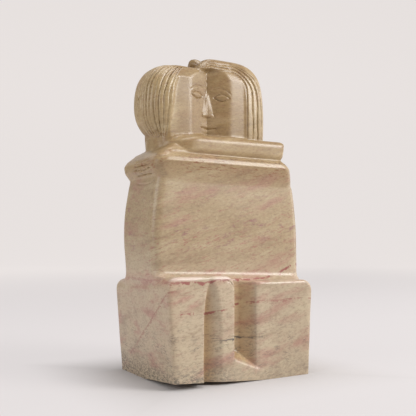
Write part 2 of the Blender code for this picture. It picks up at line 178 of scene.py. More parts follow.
def loft(name, loops):
    """A closed skin over loops of equally many corners."""
    count = len(loops[0])
    faces = [tuple(range(count)), tuple(range(count * (len(loops) - 1), count * len(loops)))]
    for ring in range(len(loops) - 1):
        for i in range(count):
            j = (i + 1) % count
            above, below = ring * count, (ring + 1) * count
            faces.append((above + i, above + j, below + j, below + i))
    return mesh_of(name, [point for loop in loops for point in loop], faces)


def fold_cutter(side):
    """Wide and steep on its left below, it closes to a point under the knees."""
    loops = []
    steps = 18
    heights = [(step / steps, LEFT_KNEES - 2.5 - FOLD_RISE * step / steps) for step in range(steps + 1)]
    for share, height in heights + [(1.0, 2 * ROUGH_FOOT)]:
        full = math.sin(0.5 * math.pi * max(share, 0.02) ** 0.6)
        width = FOLD_WIDTH * full
        start = FOLD_LEFT + 0.42 * (FOLD_WIDTH - width)
        plan = ((0.0, -3.0), (0.0, 0.0), (0.08, 0.75), (0.20, 1.0), (1.0, 0.0), (1.0, -3.0))
        loop = []
        for across, inward in plan:
            depth = inward * FOLD_DEPTH * full if inward > 0 else inward
            loop.append((start + across * width, side * (LEGS_DEPTH - depth), height))
        loops.append(loop)
    return loft("fold_cutter", loops)


def gap_cutter(side):
    """Steep on its left, with a slow slope out to the right leg and a slanting floor below."""
    outside = -4.0 / GAP_DEPTH
    plan = [(-0.2, outside), (-0.2, 1.0), (0.22, 1.0), (0.34, 0.93), (0.62, 0.36), (0.69, 0.10)]
    plan += [(0.80, 0.03), (1.0, 0.0), (1.12, -0.04), (1.12, outside)]
    low, high = [], []
    for across, inward in plan:
        x = BETWEEN_LEGS + across * GAP_WIDTH
        y = side * (LEGS_DEPTH - inward * GAP_DEPTH)
        low.append((x, y, 19 - 13 * max(across, 0.0) + 8 * max(inward, 0.0)))
        high.append((x, y, LEFT_KNEES + 14))
    return loft("gap_cutter", [high, low])


def apply_modifier(stone, kind, **settings):
    """Gives a stone a modifier with these settings, and applies it."""
    select_only(stone)
    modifier = stone.modifiers.new(kind.lower(), kind)
    for name, value in settings.items():
        setattr(modifier, name, value)
    bpy.ops.object.modifier_apply(modifier=modifier.name)


def cut_away(stone, cutter):
    """Cuts one shape out of another, and throws the cutter away."""
    apply_modifier(stone, "BOOLEAN", operation="DIFFERENCE", solver="EXACT", object=cutter)
    bpy.data.objects.remove(cutter)


for side in (-1, 1):
    cut_away(left_legs, fold_cutter(side))
    cut_away(right_legs, gap_cutter(side))
core_depth = LEGS_DEPTH - GAP_DEPTH
core = add_box("core", BETWEEN_LEGS - 12, BETWEEN_LEGS + 16, core_depth, ROUGH_FOOT, RIGHT_KNEES + 2)

# The shared chest. One slab of the stone for both bodies, a little fuller in the middle of its
# height, which sweeps out to the knees in a hollow fillet on the front and the back.
CHEST_DEPTH = 32.0
FLARE = 4.5
SHOULDERS = 69.0
CREASE = 188.0
LOWER_ARM = 21.0


def shape_points(stone, change):
    """Moves a mesh's points by a function of their places, which it gets as rows in millimetres."""
    values = np.empty(len(stone.data.vertices) * 3, np.float32)
    stone.data.vertices.foreach_get("co", values)
    points = change(values.reshape(-1, 3).astype(np.float64) / MM)
    stone.data.vertices.foreach_set("co", (points * MM).astype(np.float32).ravel())
    stone.data.update()


def stack_box(name, levels, corners):
    """A box whose outline changes with height. A level is its height, left, right and half depth.

    corners are the radii of the upright edges on the left and on the right.
    """
    heights, lefts, rights, depths = zip(*levels)
    left, right, deepest = min(lefts), max(rights), max(depths)
    box = add_box(name, left, right, deepest, heights[0], heights[-1])
    bpy.ops.object.mode_set(mode="EDIT")
    middle = (left + right) / 2
    tall, outer = 0.9 * (heights[-1] - heights[0]), 0.49 * (right - left)
    for side, radius in zip((-1, 1), corners):

        def upright(a, b):
            at_this_end = min((a.x - middle) * side, (b.x - middle) * side) > outer
            return at_this_end and abs(a.z - b.z) > tall

        pick("EDGE", upright)
        bpy.ops.mesh.bevel(offset=radius * MM, segments=8, affect="EDGES")
    for height in heights[1:-1]:
        bpy.ops.mesh.select_all(action="SELECT")
        bpy.ops.mesh.bisect(plane_co=(0.0, 0.0, height * MM), plane_no=(0.0, 0.0, 1.0))
    bpy.ops.object.mode_set(mode="OBJECT")

    def follow_levels(points):
        x, y, z = points.T
        across = (x - left) / (right - left)
        start, end, half = (np.interp(z, heights, column) for column in (lefts, rights, depths))
        return np.stack((start + across * (end - start), y / deepest * half, z), axis=1)

    shape_points(box, follow_levels)
    return box


def chest_levels():
    levels = [(LEFT_KNEES - 16, 3.4 - KNEES, KNEES - 4.5, CHEST_DEPTH + FLARE - 3.0)]
    levels += [(LEFT_KNEES - 4, 1.8 - KNEES, KNEES - 1.9, CHEST_DEPTH + FLARE - 0.5)]
    steps = 14
    for step in range(steps + 1):
        rise = step / steps
        out = FLARE * (1 - math.sqrt(1 - (1 - rise) ** 2))
        levels.append((LEFT_KNEES + FLARE * rise, 0.6 - KNEES, KNEES + 1.8, CHEST_DEPTH + out))
    foot, bend = LEFT_KNEES + FLARE, CREASE - LOWER_ARM - 5
    steps = 8
    for step in range(1, steps + 1):
        share = step / steps
        swell = math.sin(math.pi * share)
        left = 0.6 - KNEES - 3.0 * swell + (KNEES - SHOULDERS - 2.0) * share
        right = KNEES + 1.8 + 1.6 * swell + (SHOULDERS - KNEES - 0.4) * share
        levels.append((foot + (bend - foot) * share, left, right, CHEST_DEPTH + 0.6 * swell))
    levels.append((CREASE - 1, levels[-1][1] + 6, levels[-1][2] - 11, CHEST_DEPTH - 1))
    return levels


def drop_foot(points):
    """The fillet's foot comes down to the right figure's knees and the block's back, which are lower."""
    x, y, z = points.T
    on_left = 0.5 - 0.5 * np.clip(x / KNEES, -1, 1)
    in_front = 0.5 - 0.5 * np.clip(y / CHEST_DEPTH, -1, 1)
    near_foot = 1 - np.clip((z - LEFT_KNEES) / (3 * FLARE), 0, 1)
    points[:, 2] -= (LEFT_KNEES - RIGHT_KNEES) * (1 - on_left * in_front) * near_foot
    return points


chest = stack_box("chest", chest_levels(), (8.0, 11.0))
shape_points(chest, drop_foot)

# The arms. Two rings of stone one over the other: the right figure's arms lie below and end in the
# hands on the left side, the left figure's arms lie above and end in the hands on the right.
UPPER_ARM = 15.5
SHOULDER_SLOPE = 0.12
SLOPE_START = -22.0

lower_arms = stack_box(
    "lower_arms",
    [
        (CREASE - 1.22 * LOWER_ARM, -66.0, 67.5, CHEST_DEPTH - 0.5),
        (CREASE - 0.95 * LOWER_ARM, -69.5, 68.0, CHEST_DEPTH + 0.8),
        (CREASE - 0.66 * LOWER_ARM, -73.3, 66.2, CHEST_DEPTH + 2.8),
        (CREASE - 0.38 * LOWER_ARM, -73.6, 63.6, CHEST_DEPTH + 4.8),
        (CREASE - 0.18 * LOWER_ARM, -71.0, 60.2, CHEST_DEPTH + 3.6),
        (CREASE + 0.03 * LOWER_ARM, -66.0, 55.5, CHEST_DEPTH - 0.2),
    ],
    (9.0, 10.0),
)
upper_arms = stack_box(
    "upper_arms",
    [
        (CREASE - 1.0, -56.0, 50.0, CHEST_DEPTH - 2.0),
        (CREASE + 0.8, -58.5, 54.0, CHEST_DEPTH + 1.4),
        (CREASE + 2.4, -59.5, 55.5, CHEST_DEPTH + 2.2),
        (CREASE + UPPER_ARM - 3.2, -59.0, 57.5, CHEST_DEPTH + 2.2),
        (CREASE + UPPER_ARM - 0.4, -57.0, 58.0, CHEST_DEPTH + 1.0),
        (CREASE + UPPER_ARM + 1.6, -53.0, 56.5, CHEST_DEPTH - 2.0),
    ],
    (24.0, 5.0),
)
left_shoulder = stack_box(
    "left_shoulder",
    [
        (CREASE - 14.0, -71.0, -30.0, CHEST_DEPTH + 1.0),
        (CREASE - 7.0, -70.5, -30.0, CHEST_DEPTH + 1.6),
        (CREASE + 2.0, -64.5, -34.0, CHEST_DEPTH + 0.5),
        (CREASE + 7.0, -55.5, -38.0, CHEST_DEPTH - 4.0),
        (CREASE + 10.0, -51.0, -40.0, CHEST_DEPTH - 10.0),
    ],
    (8.0, 6.0),
)


def slope_shoulder(points):
    """The upper ring falls away to the left figure's shoulder."""
    x, z = points[:, 0], points[:, 2]
    points[:, 2] -= SHOULDER_SLOPE * np.maximum(SLOPE_START - x, 0) * np.maximum(z - CREASE, 0) / UPPER_ARM
    return points


shape_points(upper_arms, slope_shoulder)

# The heads. Two blunt forms pushed together: the right one tall and square, the left one round at
# the back of the hair, with one thick lock that lies over the crown from front to back.
HEAD_DEPTH = 21.5
FACE_RECESS = 1.6
SEAM = -14.5
PROUD = HEAD_DEPTH + FACE_RECESS
LOCK_REACH = 19.0
LOCK_THICK = 4.0


def soft_box(name, middle, half, plan_power, rise_power):
    """A fine cube drawn in to a superquadric, the form a rasp leaves of a block with all edges worn."""
    box = add_box(name, -1, 1, 1, -1, 1)
    bpy.ops.object.mode_set(mode="EDIT")
    bpy.ops.mesh.select_all(action="SELECT")
    bpy.ops.mesh.subdivide(number_cuts=23)
    bpy.ops.object.mode_set(mode="OBJECT")

    def draw_in(points):
        evened = np.sin(points * math.pi / 4) / math.sin(math.pi / 4)
        x, y, z = np.abs(evened).T
        plan = (x**plan_power + y**plan_power) ** (1 / plan_power)
        size = (plan**rise_power + z**rise_power) ** (1 / rise_power)
        return evened / size[:, None] * np.array(half) + np.array(middle)

    shape_points(box, draw_in)
    return box


right_head = soft_box("right_head", (7.0, 0.0, 224.0), (38.0, PROUD, 55.0), 6.0, 3.2)
left_head = soft_box("left_head", (-42.2, 0.0, 233.5), (31.5, HEAD_DEPTH + 3.6, 33.8), 2.8, 2.5)
left_neck = soft_box("left_neck", (-38.0, 0.0, 205.0), (24.0, HEAD_DEPTH - 1.0, 30.0), 3.5, 4.0)
left_cheek = soft_box("left_cheek", (-33.0, 0.0, 222.0), (28.0, PROUD, 45.0), 5.0, 4.0)


def lock_middle(swing):
    """Where the middle of the crown lock lies, from -1 at the front to 1 at the back."""
    return SEAM - 6.0 + 6.5 * abs(swing) ** 1.2, 273.6 - 12 * abs(swing) ** 1.7


def lock_taper(swing):
    """The share of its thickness that the crown lock keeps, from 0 at its middle to 1 at an end."""
    return 1 - 0.7 * swing**3


def add_crown_lock():
    """A tapered roll along an arc from the forehead, over the crown, to the back."""
    route = bpy.data.curves.new("crown_lock", "CURVE")
    route.dimensions = "3D"
    route.bevel_depth = LOCK_THICK * MM
    route.bevel_resolution = 4
    route.use_fill_caps = True
    line = route.splines.new("POLY")
    steps = 20
    line.points.add(steps)
    for step in range(steps + 1):
        swing = 2 * step / steps - 1
        x, z = lock_middle(swing)
        line.points[step].co = (*(Vector((x, LOCK_REACH * swing, z)) * MM), 1.0)
        line.points[step].radius = lock_taper(abs(swing))
    lock = bpy.data.objects.new("crown_lock", route)
    UNIT.objects.link(lock)
    select_only(lock)
    bpy.ops.object.convert(target="MESH")
    bpy.ops.object.mode_set(mode="EDIT")
    bpy.ops.mesh.select_all(action="SELECT")
    bpy.ops.mesh.remove_doubles(threshold=0.01 * MM)
    bpy.ops.mesh.normals_make_consistent(inside=False)
    bpy.ops.object.mode_set(mode="OBJECT")
    return lock


crown_lock = add_crown_lock()

# One stone. The forms are joined into a single body, the faces are cut back flat below the hair and
# turned in to the seam, and the whole is rubbed down so that the forms run into each other.
GRAIN = 0.72
VALLEY_DEPTH = 7.5
VALLEY_REACH = 19.0
RIGHT_FACE = (22.5, 265.5, 16.0)  # side, top and corner radius of the face's opening in the hair
LEFT_FACE = (52.5, 265.0, 22.0)
FACE_LEAN = 0.12
LEAN_LEVEL = 232.0


def ramp(value, low, high):
    """0 below low, 1 above high, smooth between."""
    share = np.clip((value - low) / (high - low), 0.0, 1.0)
    return share * share * (3 - 2 * share)


def arch_distance(x, z, side, top, corner):
    """How far a point is outside an arch of straight sides, a flat top and round corners."""
    across = x - (side - corner)
    rise = z - (top - corner)
    outside = np.hypot(np.maximum(across, 0), np.maximum(rise, 0))
    inside = np.minimum(np.maximum(across, rise), 0)
    return outside + inside - corner


def face_edges(x, z):
    """How far a point is outside the faces' two openings in the hair, less than 0 within them."""
    right = arch_distance(x, z, *RIGHT_FACE)
    left = arch_distance(-x - FACE_LEAN * (LEAN_LEVEL - z), z, *LEFT_FACE)
    return np.where(x > SEAM, right, left)


def arms_top(x):
    """The height of the upper ring of arms."""
    return CREASE + UPPER_ARM + 1.6 - SHOULDER_SLOPE * np.maximum(SLOPE_START - x, 0)


def cut_faces(points):
    """Cuts the faces flat, and lets both fall back to the seam."""
    x, y, z = points.T
    out = np.abs(x - SEAM) / VALLEY_REACH
    turned = np.minimum(out, 1.15) - np.clip(out - 0.85, 0, 0.3) ** 2 / 0.6
    limit = HEAD_DEPTH - VALLEY_DEPTH * (1 - turned)
    limit += 12 * ramp(face_edges(x, z), -0.8, 0.8)
    limit[z < arms_top(x) + 1.0] = np.inf
    points[:, 1] = np.sign(y) * np.minimum(np.abs(y), limit)
    return points


bpy.ops.object.select_all(action="DESELECT")
forms = [left_legs, right_legs, core, chest, lower_arms, upper_arms, left_shoulder]
forms += [right_head, left_head, left_neck, left_cheek, crown_lock]
for form in forms:
    form.select_set(True)
bpy.context.view_layer.objects.active = left_legs
bpy.ops.object.join()
stone = bpy.context.object
stone.name = "carved_stone"
apply_modifier(stone, "REMESH", mode="VOXEL", voxel_size=GRAIN * MM)
shape_points(stone, cut_faces)
apply_modifier(stone, "SMOOTH", factor=0.5, iterations=16)

# The carving. Hair, hands and the two faces are only incised: each line is a shallow cut of a knife
# in the rubbed surface, deeper where the stroke is pressed. The faces are plain, calm and alike.
LOCK_DEPTH = 1.35
EYE_LEVEL = 241.0
NOSE_TIP = 222.5
MOUTH_LEVEL = 213.0
CROWN = np.array((SEAM - 4, 0.0, 272.0))
LOCKS_FOOT = np.array((-50.0, 0.0, 120.0))  # where the left head's locks would meet, far below
LEFT_TEMPLE = np.array((-51.5, 0.0, 236.0))
HANDS = ((-1, 174.5, -6.0), (1, 195.5, 0.0))  # end, height of the fingers, and where the tips meet
FINGERS = ((-5.0, 0.9), (-1.0, 1.0), (3.0, 1.0), (6.6, 0.75))  # height of each line, and its length
KNEE_CORNER_X = -19.0
KNEE_CORNER_Z = 75.0
KNEE_CORNER_ARC = 7.8
WAVE_HEIGHT = 0.14


def groove(distance, width):
    """1 on a line, falling to 0 at half the width from it."""
    return np.clip(1 - np.abs(distance) / (width / 2), 0.0, 1.0) ** 1.3


def carve_bands(x, z, edge, normals):
    """Right head: bands of hair in arches round the face, cut on its front and back."""
    thickness = 12 + 9 * ramp(x - z, -250, -205)
    cut = groove(edge, 2.0) * 0.6
    for share, width, depth in ((0.30, 1.6, 0.8), (0.56, 2.4, 1.0), (0.80, 1.6, 0.7)):
        wander = 0.25 * np.sin(z * 0.21 + 9 * share) + 0.2 * np.sin(x * 0.3 + 4 * share)
        cut += groove(edge - share * thickness + wander, width) * depth * ramp(edge, 0.5, 2)
    return (x > SEAM) * np.abs(normals[:, 1]) * cut * LOCK_DEPTH


def carve_locks(points, edge):
    """Left head: locks that fall from the crown and run in under the nape."""
    axis = (CROWN - LOCKS_FOOT) / np.linalg.norm(CROWN - LOCKS_FOOT)
    back = np.array((-axis[2], 0.0, axis[0]))
    behind, flank = (points - CROWN) @ back, np.abs(points[:, 1])
    face_turn = np.arctan2(HEAD_DEPTH + 3.0, (LEFT_TEMPLE - CROWN) @ back)
    along = (CROWN - points) @ axis
    turn = np.arctan2(flank, behind) / face_turn
    turn = turn + 0.012 * np.sin(along * 0.11 + 5 * turn) + 0.006 * np.sin(along * 0.27 + 11 * turn)
    reach = np.hypot(flank, behind) * face_turn
    cut = np.zeros(len(points))
    for locks, power, depth in ((9, 2.2, 1.0), (23, 2.6, 0.28)):
        line = (1 - np.abs(np.sin(math.pi * turn * locks))) ** power
        cut += line * depth * ramp(reach / locks, 0.8, 2.2)
    press = 0.8 + 0.35 * np.sin(17 * turn + along * 0.05)
    return (points[:, 0] < SEAM - 1) * ramp(edge, 0.4, 2.0) * cut * press * LOCK_DEPTH


def carve_crown_lock(points):
    """The lock over the crown stands out between two deep cuts, with a finer one along its top."""
    x, y, z = points.T
    middle_x, middle_z = lock_middle(np.minimum(np.abs(y) / LOCK_REACH, 1.1))
    aside = np.hypot(x - middle_x, z - middle_z)
    on_top = 1 - ramp(np.abs(y), LOCK_REACH - 8, LOCK_REACH - 3)
    thick = LOCK_THICK * lock_taper(np.minimum(np.abs(y) / LOCK_REACH, 1))
    cut = groove(aside - thick - 1.0, 2.6) * 1.8 - 0.9 * np.clip(1 - aside / thick / 1.3, 0, 1)
    return on_top * (cut + groove(x - middle_x + 0.8, 1.0) * 0.5 * (aside < thick + 1))


def carve_faces(points, edge):
    """The two noses, eyes, brows and mouths, made alike on both sides of the seam."""
    x, y, z = points.T
    out = np.abs(x - SEAM)
    half_nose = 1.5 + 4.8 * np.clip((EYE_LEVEL + 3 - z) / 20, 0, 1)
    nose = np.clip(1 - out / half_nose, 0, 1) ** 0.8
    cut = -1.7 * nose * ramp(z, NOSE_TIP, NOSE_TIP + 2) * (1 - ramp(z, EYE_LEVEL - 3, EYE_LEVEL + 6))
    wing = np.hypot(out - 3.6, (z - NOSE_TIP - 2.0) * 1.1)
    cut += groove(wing - 2.6, 1.1) * 0.5 * ramp(out, 3.4, 5.0)
    across, up = (out - 12.5) / 6.4, (z - EYE_LEVEL) / 3.0
    almond = np.hypot(across, up * (1 + 0.55 * across**2))
    cut += groove((almond - 1.0) * 3.2, 1.5) * 0.85
    cut -= 0.55 * np.clip(1 - almond**2, 0, 1)
    cut += groove((almond - 1.42) * 3.2, 1.1) * 0.4 * ramp(up, 0.3, 0.9)
    brow = z - (EYE_LEVEL + 8.4) + 0.045 * (out - 10) ** 2
    cut += groove(brow, 1.8) * 0.55 * ramp(out, 3, 6) * (1 - ramp(out, 18, 22))
    for rise, fullness, width in ((2.1, 0.9, 8.0), (-2.2, 0.8, 7.0)):
        lip = np.clip(1 - ((z - MOUTH_LEVEL - rise) / 2.2) ** 2, 0, 1)
        cut -= lip * np.clip(1 - out / width, 0, 1) ** 0.7 * fullness
    mouth = z - MOUTH_LEVEL - 0.010 * out**2
    cut += groove(mouth, 1.4) * 0.9 * (1 - ramp(out, 6.5, 9))
    cut += groove(out, 1.6) * 0.6 * (1 - ramp(z, 258, 263))
    within = ramp(-edge, 0.0, 1.0)
    return cut * within * (np.abs(y) > 8)


def carve_hands(points, normals):
    """The fingers of two hands that meet on each end."""
    x, y, z = points.T
    depth = np.zeros(len(points))
    for end, level, meet in HANDS:
        facing = (end * x > 44) * np.clip(end * normals[:, 0], 0, 1) ** 0.7
        flank = np.abs(y - meet)
        fingers = z - level - 0.06 * flank
        reach = 1 - ramp(flank, 13, 21)
        for line, length in FINGERS:
            stroke = fingers - line - 0.4 * np.sin(flank * 0.22 + line)
            depth += facing * groove(stroke, 1.4) * (1 - ramp(flank, 12 * length, 20 * length)) * 1.3
        depth += facing * groove(z - level + 12.0 - 0.006 * flank**2, 2.6) * reach
        tips = groove(flank - 0.6 * np.sin(z * 1.3), 1.2) * (np.abs(fingers - 0.8) < 6.5)
        depth += facing * tips * 0.6 * reach
    return depth


def carve_knee_corner(points):
    """A thin curved cut follows the rounded corner of the left figure's right knee."""
    x, y, z = points.T
    arc = groove(np.hypot(x - KNEE_CORNER_X, z - KNEE_CORNER_Z) - KNEE_CORNER_ARC, 1.3) * 0.8
    arc = arc * ramp(x, KNEE_CORNER_X - 1, KNEE_CORNER_X + 1) * ramp(z, KNEE_CORNER_Z, KNEE_CORNER_Z + 2)
    return arc * (np.abs(y) > LEGS_DEPTH - 1.5)


def carved_depth(points, normals):
    """How deep all the cuts together go at each point."""
    x, _, z = points.T
    edge = face_edges(x, z)
    above_arms = ramp(z - arms_top(x), 0.5, 2.5)
    heads = carve_bands(x, z, edge, normals) + carve_locks(points, edge)
    heads += carve_faces(points, edge) + carve_crown_lock(points)
    return above_arms * heads + carve_hands(points, normals) + carve_knee_corner(points)


def read_normals():
    """The directions in which the stone's points face, as rows."""
    values = np.empty(len(stone.data.vertices) * 3, np.float32)
    stone.data.vertices.foreach_get("normal", values)
    return values.reshape(-1, 3).astype(np.float64)


def incise(points):
    """Sinks every point by what is carved away there."""
    normals = read_normals()
    return points - normals * carved_depth(points, normals)[:, None]


def add_unevenness(points):
    """Rubbing by hand leaves broad, shallow waves, about a quarter of a millimetre high."""
    x, y, z = points.T
    wave = np.sin(x * 0.083 + 1.3 * np.sin(z * 0.051)) * np.sin(z * 0.067 + 1.1 * np.sin(y * 0.09 + 0.6))
    wave += 0.5 * np.sin(y * 0.17 + x * 0.05) * np.sin(z * 0.19 + 0.8 * np.sin(x * 0.12))
    return points + read_normals() * (WAVE_HEIGHT * wave)[:, None]


shape_points(stone, add_unevenness)
shape_points(stone, incise)

# The underside. It is sawn flat, and its front left corner is worn away a little, so that the
# carving stands clear of the table there.
CORNER_LIFT = 6.0
WORN_FRONT = 92.0
WORN_SIDE = 62.0
MOST_TRIANGLES = 192000
SHARP = math.radians(50)


def saw(point, normal):
    """Cuts flat through a point, throws away what lies behind, and closes the stone again."""
    bpy.ops.object.mode_set(mode="EDIT")
    bpy.ops.mesh.select_all(action="SELECT")
    bpy.ops.mesh.bisect(plane_co=point * MM, plane_no=normal, use_fill=True, clear_inner=True)
    bpy.ops.object.mode_set(mode="OBJECT")


saw(Vector((0.0, 0.0, 0.0)), (0.0, 0.0, 1.0))
corner = Vector((1 - KNEES, -LEGS_DEPTH, CORNER_LIFT))
along_front = Vector((WORN_FRONT, 0.0, -CORNER_LIFT))
along_side = Vector((0.0, WORN_SIDE, -CORNER_LIFT))
saw(corner + along_front, along_front.cross(along_side).normalized())


def set_in_place(points):
    """The stone stands exactly where its solid does, and nowhere beyond it."""
    low, high = (np.array(side) / MM for side in solid_box)
    points[:, :2] += (low + high)[:2] / 2 - (points[:, :2].min(axis=0) + points[:, :2].max(axis=0)) / 2
    return np.clip(points, low, high)


shape_points(stone, set_in_place)
apply_modifier(stone, "TRIANGULATE")
apply_modifier(stone, "DECIMATE", ratio=min(MOST_TRIANGLES / len(stone.data.polygons), 1.0))
bpy.ops.object.shade_smooth_by_angle(angle=SHARP)

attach(stone, "root")
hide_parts("stone_carving")
stone_look = bpy.data.materials.new("waxed_soapstone")
stone_look.use_nodes = True
stone.data.materials.clear()
stone.data.materials.append(stone_look)


class Wire:
    """An output of a shader's node, which takes part in sums as a number does."""

    tree = stone_look.node_tree

    def __init__(self, socket):
        self.socket = socket

    @staticmethod
    def node(kind, settings, inputs):
        """A new node: its kind, its settings, then what each of its sockets gets."""
        made = Wire.tree.nodes.new("ShaderNode" + kind)
        for name, value in settings.items():
            setattr(made, name, value)
        for name, value in inputs.items():
            if isinstance(value, Wire):
                Wire.tree.links.new(value.socket, made.inputs[name])
            else:
                made.inputs[name].default_value = value
        return made

    @staticmethod
    def math(operation, *values):
        return Wire(Wire.node("Math", {"operation": operation}, dict(enumerate(values))).outputs[0])

    def __add__(self, other):
        return Wire.math("ADD", self, other)

    __radd__ = __add__

    def __mul__(self, other):
        return Wire.math("MULTIPLY", self, other)

    __rmul__ = __mul__

    def __sub__(self, other):
        return Wire.math("SUBTRACT", self, other)

    def __rsub__(self, other):
        return Wire.math("SUBTRACT", other, self)

    def __abs__(self):
        return Wire.math("ABSOLUTE", self)

    def ramp(self, low, high):
        """0 below low, 1 above high, smooth between."""
        inputs = {"Value": self, "From Min": low, "From Max": high}
        return Wire(Wire.node("MapRange", {"interpolation_type": "SMOOTHSTEP"}, inputs).outputs[0])

    def near(self, value, width):
        """1 at a value, falling to 0 at a width from it."""
        return 1 - abs(self - value).ramp(0.0, width)


def millimetres(turn, lengths):
    """The place in the stone in a frame turned about the Y axis, each axis in steps of its length."""
    place = Wire(Wire.node("TexCoord", {}, {}).outputs["Object"])
    steps = [MM * size for size in lengths]
    inputs = {"Vector": place, "Rotation": (0.0, -math.radians(turn), 0.0), "Scale": steps}
    return Wire(Wire.node("Mapping", {"vector_type": "TEXTURE"}, inputs).outputs[0])


def cloud(turn, lengths, detail=2.0, roughness=0.5):
    """Soft noise from 0 to 1 whose patches have the given lengths, in millimetres."""
    inputs = {"Vector": millimetres(turn, lengths), "Scale": 1.0, "Detail": detail, "Roughness": roughness}
    return Wire(Wire.node("TexNoise", {}, inputs).outputs[0])


def patches(size, low, high):
    """Round patches of a size, in millimetres, where the marks of one kind gather."""
    return cloud(0.0, (size, size, size)).ramp(low, high)


def tint(colour, other, share):
    """A colour on its way to another one, as far as the share says."""
    made = Wire.node("Mix", {"data_type": "RGBA"}, {0: share, 6: colour, 7: other})
    return Wire(made.outputs[2])


place = Wire.node("SeparateXYZ", {}, {"Vector": millimetres(0.0, (1.0, 1.0, 1.0))})
east, north, height = (Wire(socket) for socket in place.outputs)

# Its ground is a creamy tan, paler and pinker in the legs block, olive in the heads, with soft
# darker clouds and rose clouds drawn out along the bedding, which rises to the right.
cream, tan, olive = (0.50, 0.415, 0.30, 1.0), (0.45, 0.355, 0.225, 1.0), (0.40, 0.315, 0.18, 1.0)
ground = tint(cream, tan, height.ramp(70.0, 130.0))
ground = tint(ground, olive, height.ramp(165.0, 215.0))
bed_clouds = cloud(16.0, (34.0, 22.0, 9.0), 4.0, 0.55)
pale, umber, rose = (0.56, 0.49, 0.345, 1.0), (0.29, 0.21, 0.13, 1.0), (0.43, 0.245, 0.195, 1.0)
ground = tint(ground, pale, bed_clouds.ramp(0.50, 0.72) * 0.65)
ground = tint(ground, umber, (1 - bed_clouds).ramp(0.52, 0.75) * 0.6)
below_arms = 1 - height.ramp(160.0, 200.0)
rose_clouds = cloud(20.0, (60.0, 40.0, 13.0), 5.0, 0.6).ramp(0.50, 0.68)
on_left_end = 1 - east.ramp(-72.0, -58.0)
rosiness = rose_clouds * (0.15 + 0.85 * below_arms) * (0.80 + 0.1 * on_left_end)
ground = tint(ground, rose, rosiness)

# Thin red and mauve threads follow the same bedding, and a fine mottle lies over all.
thread_red, mauve = (0.38, 0.15, 0.13, 1.0), (0.30, 0.14, 0.15, 1.0)
bend = cloud(0.0, (26.0, 26.0, 26.0), 3.0)
fray = cloud(0.0, (5.0, 5.0, 2.2), 3.0, 0.65)
fine_fray = cloud(0.0, (2.4, 2.4, 1.1), 4.0, 0.7)
thread_bed = cloud(19.0, (52.0, 34.0, 5.5), 4.0, 0.6)
threads = thread_bed.near(0.52, 0.030) * fray.ramp(0.42, 0.62)
ground = tint(ground, thread_red, threads * (0.2 + 0.6 * height.near(118.0, 75.0)))
mauve_bed = cloud(15.0, (16.0, 12.0, 4.2), 5.0, 0.7)
mauve_spots = mauve_bed.ramp(0.56, 0.64) * height.near(128.0, 46.0) * patches(30.0, 0.42, 0.58)
ground = tint(ground, mauve, mauve_spots * 0.85)
mottle = cloud(10.0, (3.2, 3.2, 1.6), 4.0, 0.7)
ground = tint(ground, (0.22, 0.145, 0.10, 1.0), mottle.ramp(0.50, 0.68) * 0.42)
ground = tint(ground, (0.60, 0.53, 0.39, 1.0), (1 - mottle).ramp(0.50, 0.68) * 0.30)


def vein(level, swing, thickness, gaps):
    """A wavy sheet of colour through the stone at a level, frayed and broken by gaps."""
    wave = (bend - 0.5) * swing + (fray - 0.5) * (0.8 * swing)
    line = abs(height + wave - level) - (fine_fray - 0.42) * (2.2 * thickness)
    line = line - (fray - 0.46) * (6.0 * thickness)
    breaks = cloud(0.0, (10.0, 10.0, 30.0), 3.0, 0.6).ramp(0.5 - gaps, 0.58 - gaps)
    return (1 - line.ramp(0.0, thickness)) * breaks


# Crimson veins: one along the tops of the knees, which climbs to the right over the chest, one
# through the shins, and a fainter slanting one on the left end.
crimson, blush = (0.27, 0.045, 0.05, 1.0), (0.42, 0.20, 0.17, 1.0)
knee_vein = vein(83.0 + 13.0 * east.ramp(32.0, 78.0), 8.0, 1.0, 0.10) * (1 - 0.6 * on_left_end)
shin_vein = vein(57.5 + 8.0 * east.ramp(-45.0, 30.0), 5.0, 0.75, 0.10) * (1 - 0.9 * on_left_end)
end_vein = vein(74.0 - 0.72 * (north + 50.0), 8.0, 0.9, 0.12) * on_left_end
ground = tint(ground, blush, height.near(84.0, 9.0) * bed_clouds.ramp(0.4, 0.6) * 0.35)
ground = tint(ground, crimson, knee_vein * 0.8)
ground = tint(ground, crimson, shin_vein * (0.8 - 0.35 * east.ramp(0.0, 20.0)))
ground = tint(ground, crimson, end_vein * 0.5)

# Grey veins and short grey dashes lie below the knees.
grey = (0.105, 0.095, 0.085, 1.0)
grey_vein = vein(35.5, 5.0, 0.6, 0.2) * east.near(-6.0, 34.0) * (1 - north.ramp(-30.0, 0.0))
grey_dashes = cloud(4.0, (9.0, 8.0, 1.5), 4.0, 0.6).near(0.5, 0.035)
grey_dashes = grey_dashes * cloud(0.0, (10.0, 10.0, 7.0)).ramp(0.47, 0.60)
ground = tint(ground, grey, grey_vein * 1.1)
ground = tint(ground, grey, grey_dashes * height.near(28.0, 40.0) * 0.85)

# Rust fills small pits along the lower arms, and fine dark grains are strewn all over.
rust, dark_rust, grain_brown = (0.27, 0.095, 0.035, 1.0), (0.15, 0.075, 0.035, 1.0), (0.14, 0.10, 0.075, 1.0)
pits = cloud(3.0, (6.5, 5.0, 1.4), 4.0, 0.65).ramp(0.54, 0.62) * patches(20.0, 0.40, 0.52)
ground = tint(ground, rust, pits * height.near(178.0, 13.0) * 0.9)
ground = tint(ground, rust, pits * height.near(200.0, 12.0) * 0.35)
edge_pits = cloud(0.0, (4.5, 4.5, 1.2), 4.0, 0.7).ramp(0.50, 0.60) * patches(15.0, 0.40, 0.52)
ground = tint(ground, dark_rust, edge_pits * height.near(184.5, 3.0) * 0.8)
grains = patches(1.1, 0.66, 0.74) * patches(24.0, 0.40, 0.62)
ground = tint(ground, grain_brown, grains * 0.5)

